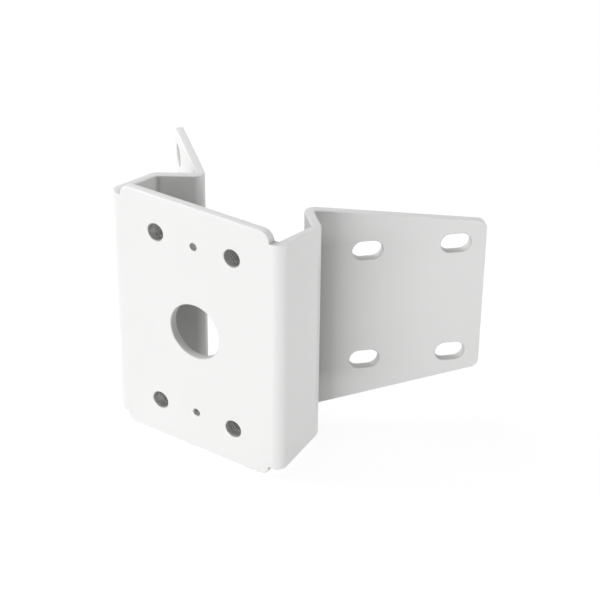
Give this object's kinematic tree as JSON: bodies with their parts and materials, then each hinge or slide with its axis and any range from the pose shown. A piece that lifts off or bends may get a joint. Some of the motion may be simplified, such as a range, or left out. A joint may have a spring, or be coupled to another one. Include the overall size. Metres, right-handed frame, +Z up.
{
  "type": "camera corner mount bracket",
  "caption": "Folded sheet bracket that carries a camera on an outside wall corner: a front plate with four weld nuts and a cable hole, and two slotted wings.",
  "frame": {"origin": "middle of the bracket's bounding box", "axes": "+X to the right along the front plate, -Y out of the front plate towards the camera that it carries, +Z up along the wall's corner"},
  "size_m": [0.1716, 0.1016, 0.12],
  "materials": {
    "white_powder_coat": "matt white powder coating"
  },
  "bodies": {
    "root": {"corner_bracket": "white_powder_coat", "weld_nut_top_left": "white_powder_coat", "weld_nut_top_right": "white_powder_coat", "weld_nut_bottom_left": "white_powder_coat", "weld_nut_bottom_right": "white_powder_coat"}
  },
  "joints": []
}
